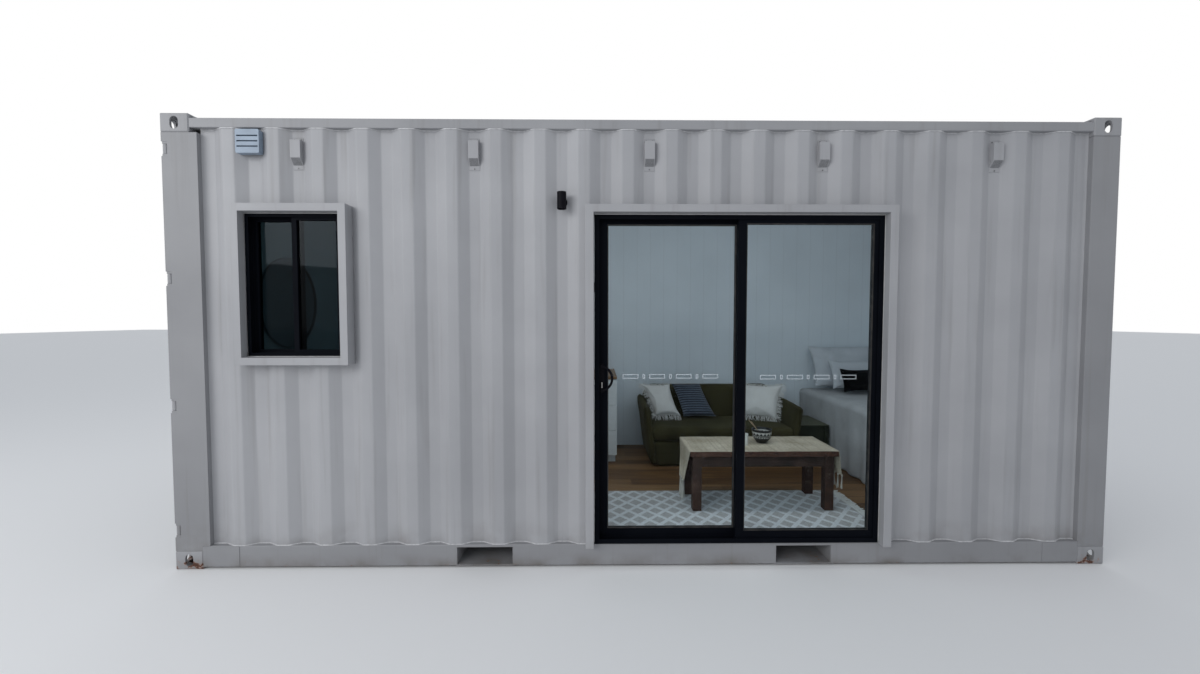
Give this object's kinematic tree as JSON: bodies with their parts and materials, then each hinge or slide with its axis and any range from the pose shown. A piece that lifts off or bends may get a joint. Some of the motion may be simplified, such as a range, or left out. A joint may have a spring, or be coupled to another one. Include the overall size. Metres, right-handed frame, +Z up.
{
  "type": "shipping container cabin",
  "caption": "High-cube shipping container cabin with a boxed window, a boxed sliding glass door, cargo doors, fork pockets and a lined, furnished room inside.",
  "frame": {"origin": "bottom centre of the whole part's bounding box, on the ground", "axes": "+X along the container towards the blank end, +Y from the glazed front into the cabin, +Z up"},
  "size_m": [6.058, 2.503, 2.896],
  "materials": {
    "shell_paint": "satin, weathered",
    "underframe_paint": "matt",
    "floor_boards": "satin varnish",
    "gear_paint": "satin",
    "surround_paint": "satin",
    "dark_frame": "powder coated, satin",
    "clear_glass": "clear, reflective",
    "dark_furniture": "satin",
    "white_lining": "satin sheet",
    "olive_fabric": "woven",
    "pale_fabric": "woven",
    "dark_timber": "oiled, worn",
    "runner_weave": "coarse weave",
    "glazed_bowl": "glazed",
    "wax": "matt",
    "rug_weave": "woven pattern",
    "olive_board": "painted",
    "bed_spread": "woven",
    "cabinet_board": "satin laminate",
    "mirror_face": "polished"
  },
  "bodies": {
    "cabin": {"bottom_corner_castings": "shell_paint", "top_corner_castings": "shell_paint", "door_end_posts": "shell_paint", "blank_end_posts": "shell_paint", "bottom_side_rails": "shell_paint", "top_side_rails": "shell_paint", "door_end_rails": "shell_paint", "blank_end_rails": "shell_paint", "fork_pockets": "shell_paint", "cross_members": "underframe_paint", "floor": "floor_boards", "front_wall_left": "shell_paint", "front_wall_at_window": "shell_paint", "front_wall_middle": "shell_paint", "front_wall_over_door": "shell_paint", "front_wall_right": "shell_paint", "back_wall": "shell_paint", "blank_end_wall": "shell_paint", "roof": "shell_paint", "cargo_door_left": "shell_paint", "cargo_door_right": "shell_paint", "door_locking_gear": "gear_paint", "cargo_door_hinges": "gear_paint", "window_surround": "surround_paint", "doorway_surround": "surround_paint", "window_frame": "dark_frame", "window_sashes": "dark_frame", "window_glass": "clear_glass", "door_frame": "dark_frame", "fixed_door_panel": "dark_frame", "fixed_door_glass": "clear_glass", "ventilators": "shell_paint", "exhaust_vent": "surround_paint", "wall_light": "dark_furniture", "front_lining": "white_lining", "back_lining": "white_lining", "end_linings": "white_lining", "ceiling": "white_lining", "sofa": "olive_fabric", "scatter_cushions": "pale_fabric", "coffee_table": "dark_timber", "table_runner": "runner_weave", "bowl": "glazed_bowl", "candle": "wax", "rug": "rug_weave", "side_table": "olive_board", "bed": "bed_spread", "pillows": "pale_fabric", "kitchen_cabinet": "cabinet_board", "wall_mirror": "mirror_face"},
    "sliding_door": {"sliding_door_panel": "dark_frame", "sliding_door_glass": "clear_glass", "door_handle": "dark_furniture"}
  },
  "joints": [
    {"name": "door_slide", "type": "slide", "parent": "cabin", "child": "sliding_door", "axis": [1, 0, 0], "range_m": [0, 0.75]}
  ]
}
